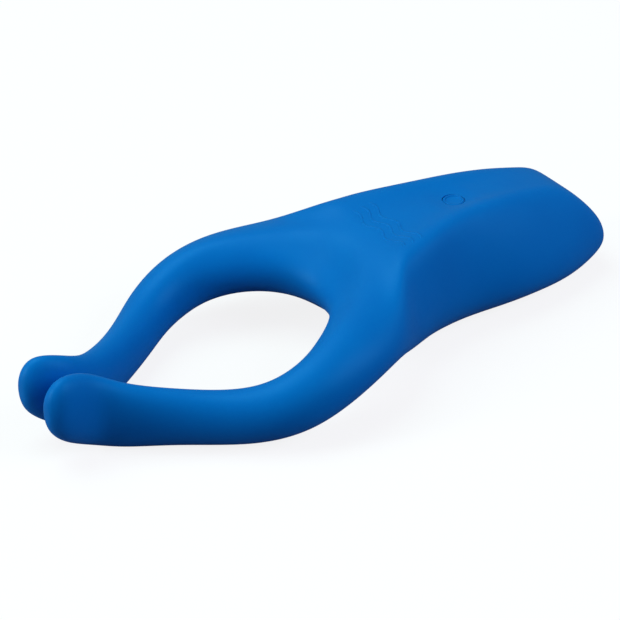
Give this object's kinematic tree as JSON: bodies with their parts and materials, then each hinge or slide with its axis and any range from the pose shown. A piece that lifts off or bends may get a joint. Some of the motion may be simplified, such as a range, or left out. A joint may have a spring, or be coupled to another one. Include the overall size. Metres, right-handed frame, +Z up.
{
  "type": "two-armed massager",
  "caption": "Hand-held vibrating massager: a soft blue silicone wishbone with a thick handle, a power button on its top face and flexible arms that curve to paddle tips.",
  "frame": {"origin": "on the rest plane, under the middle of the object", "axes": "-X towards the arm tips, +X towards the end of the handle, +Y to the left arm, +Z up out of the top face"},
  "size_m": [0.1673, 0.0744, 0.0315],
  "materials": {
    "blue_silicone": "satin soft-touch silicone",
    "case_plastic": "moulded ABS",
    "pod_plastic": "moulded ABS",
    "switch_plastic": "moulded",
    "stem_plastic": "moulded",
    "board_laminate": "solder mask",
    "lamp_lens": "clear",
    "cell_foil": "satin foil",
    "cushion_foam": "foam",
    "contact_gold": "plated",
    "magnet_nickel": "plated",
    "screw_steel": "zinc plated",
    "motor_steel": "plated can",
    "weight_metal": "sintered heavy metal",
    "core_steel": "flexible spring strand",
    "cable_jacket": "soft jacket"
  },
  "bodies": {
    "handle": {"handle_skin": "blue_silicone", "upper_case": "case_plastic", "lower_case": "case_plastic", "case_screws": "screw_steel", "circuit_board": "board_laminate", "board_screws": "screw_steel", "switch_body": "switch_plastic", "status_lamp": "lamp_lens", "battery": "cell_foil", "battery_cushion": "cushion_foam", "charging_pins": "contact_gold", "charging_magnets": "magnet_nickel", "motor_case": "motor_steel", "motor_cradle": "case_plastic", "motor_strap": "core_steel"},
    "power_button": {"power_button": "blue_silicone", "button_plunger": "case_plastic", "switch_stem": "stem_plastic"},
    "handle_motor_rotor": {"motor_shaft": "screw_steel", "motor_weight": "weight_metal"},
    "left_arm": {"left_arm_skin": "blue_silicone", "left_arm_core": "core_steel", "left_arm_cable": "cable_jacket", "left_tip_pod": "pod_plastic", "left_tip_cover": "pod_plastic", "left_coin_case": "motor_steel", "left_coin_lid": "motor_steel", "left_coin_shaft": "screw_steel"},
    "left_coin_rotor": {"left_coin_weight": "weight_metal"},
    "right_arm": {"right_arm_skin": "blue_silicone", "right_arm_core": "core_steel", "right_arm_cable": "cable_jacket", "right_tip_pod": "pod_plastic", "right_tip_cover": "pod_plastic", "right_coin_case": "motor_steel", "right_coin_lid": "motor_steel", "right_coin_shaft": "screw_steel"},
    "right_coin_rotor": {"right_coin_weight": "weight_metal"}
  },
  "joints": [
    {"name": "power_button_press", "type": "slide", "parent": "handle", "child": "power_button", "axis": [0, 0, -1], "range_m": [0, 0.0004], "stiffness_N_per_m": 60},
    {"name": "handle_motor_spin", "type": "hinge", "parent": "handle", "child": "handle_motor_rotor", "pos_m": [0.052, 0, 0.012], "axis": [1, 0, 0], "continuous": true},
    {"name": "left_arm_spread", "type": "hinge", "parent": "handle", "child": "left_arm", "pos_m": [-0.0076, 0.0249, 0.015], "axis": [0, 0, -1], "range_deg": [0, 20], "stiffness_Nm_per_rad": 0.8, "deforming": ["left_arm_core", "left_arm_cable"]},
    {"name": "left_coin_motor_spin", "type": "hinge", "parent": "left_arm", "child": "left_coin_rotor", "pos_m": [-0.074, 0.0052, 0.0133], "axis": [0, 1, 0], "continuous": true},
    {"name": "right_arm_spread", "type": "hinge", "parent": "handle", "child": "right_arm", "pos_m": [-0.0076, -0.0249, 0.015], "axis": [0, 0, 1], "range_deg": [0, 20], "stiffness_Nm_per_rad": 0.8, "deforming": ["right_arm_core", "right_arm_cable"]},
    {"name": "right_coin_motor_spin", "type": "hinge", "parent": "right_arm", "child": "right_coin_rotor", "pos_m": [-0.074, -0.0052, 0.0133], "axis": [0, -1, 0], "continuous": true}
  ]
}
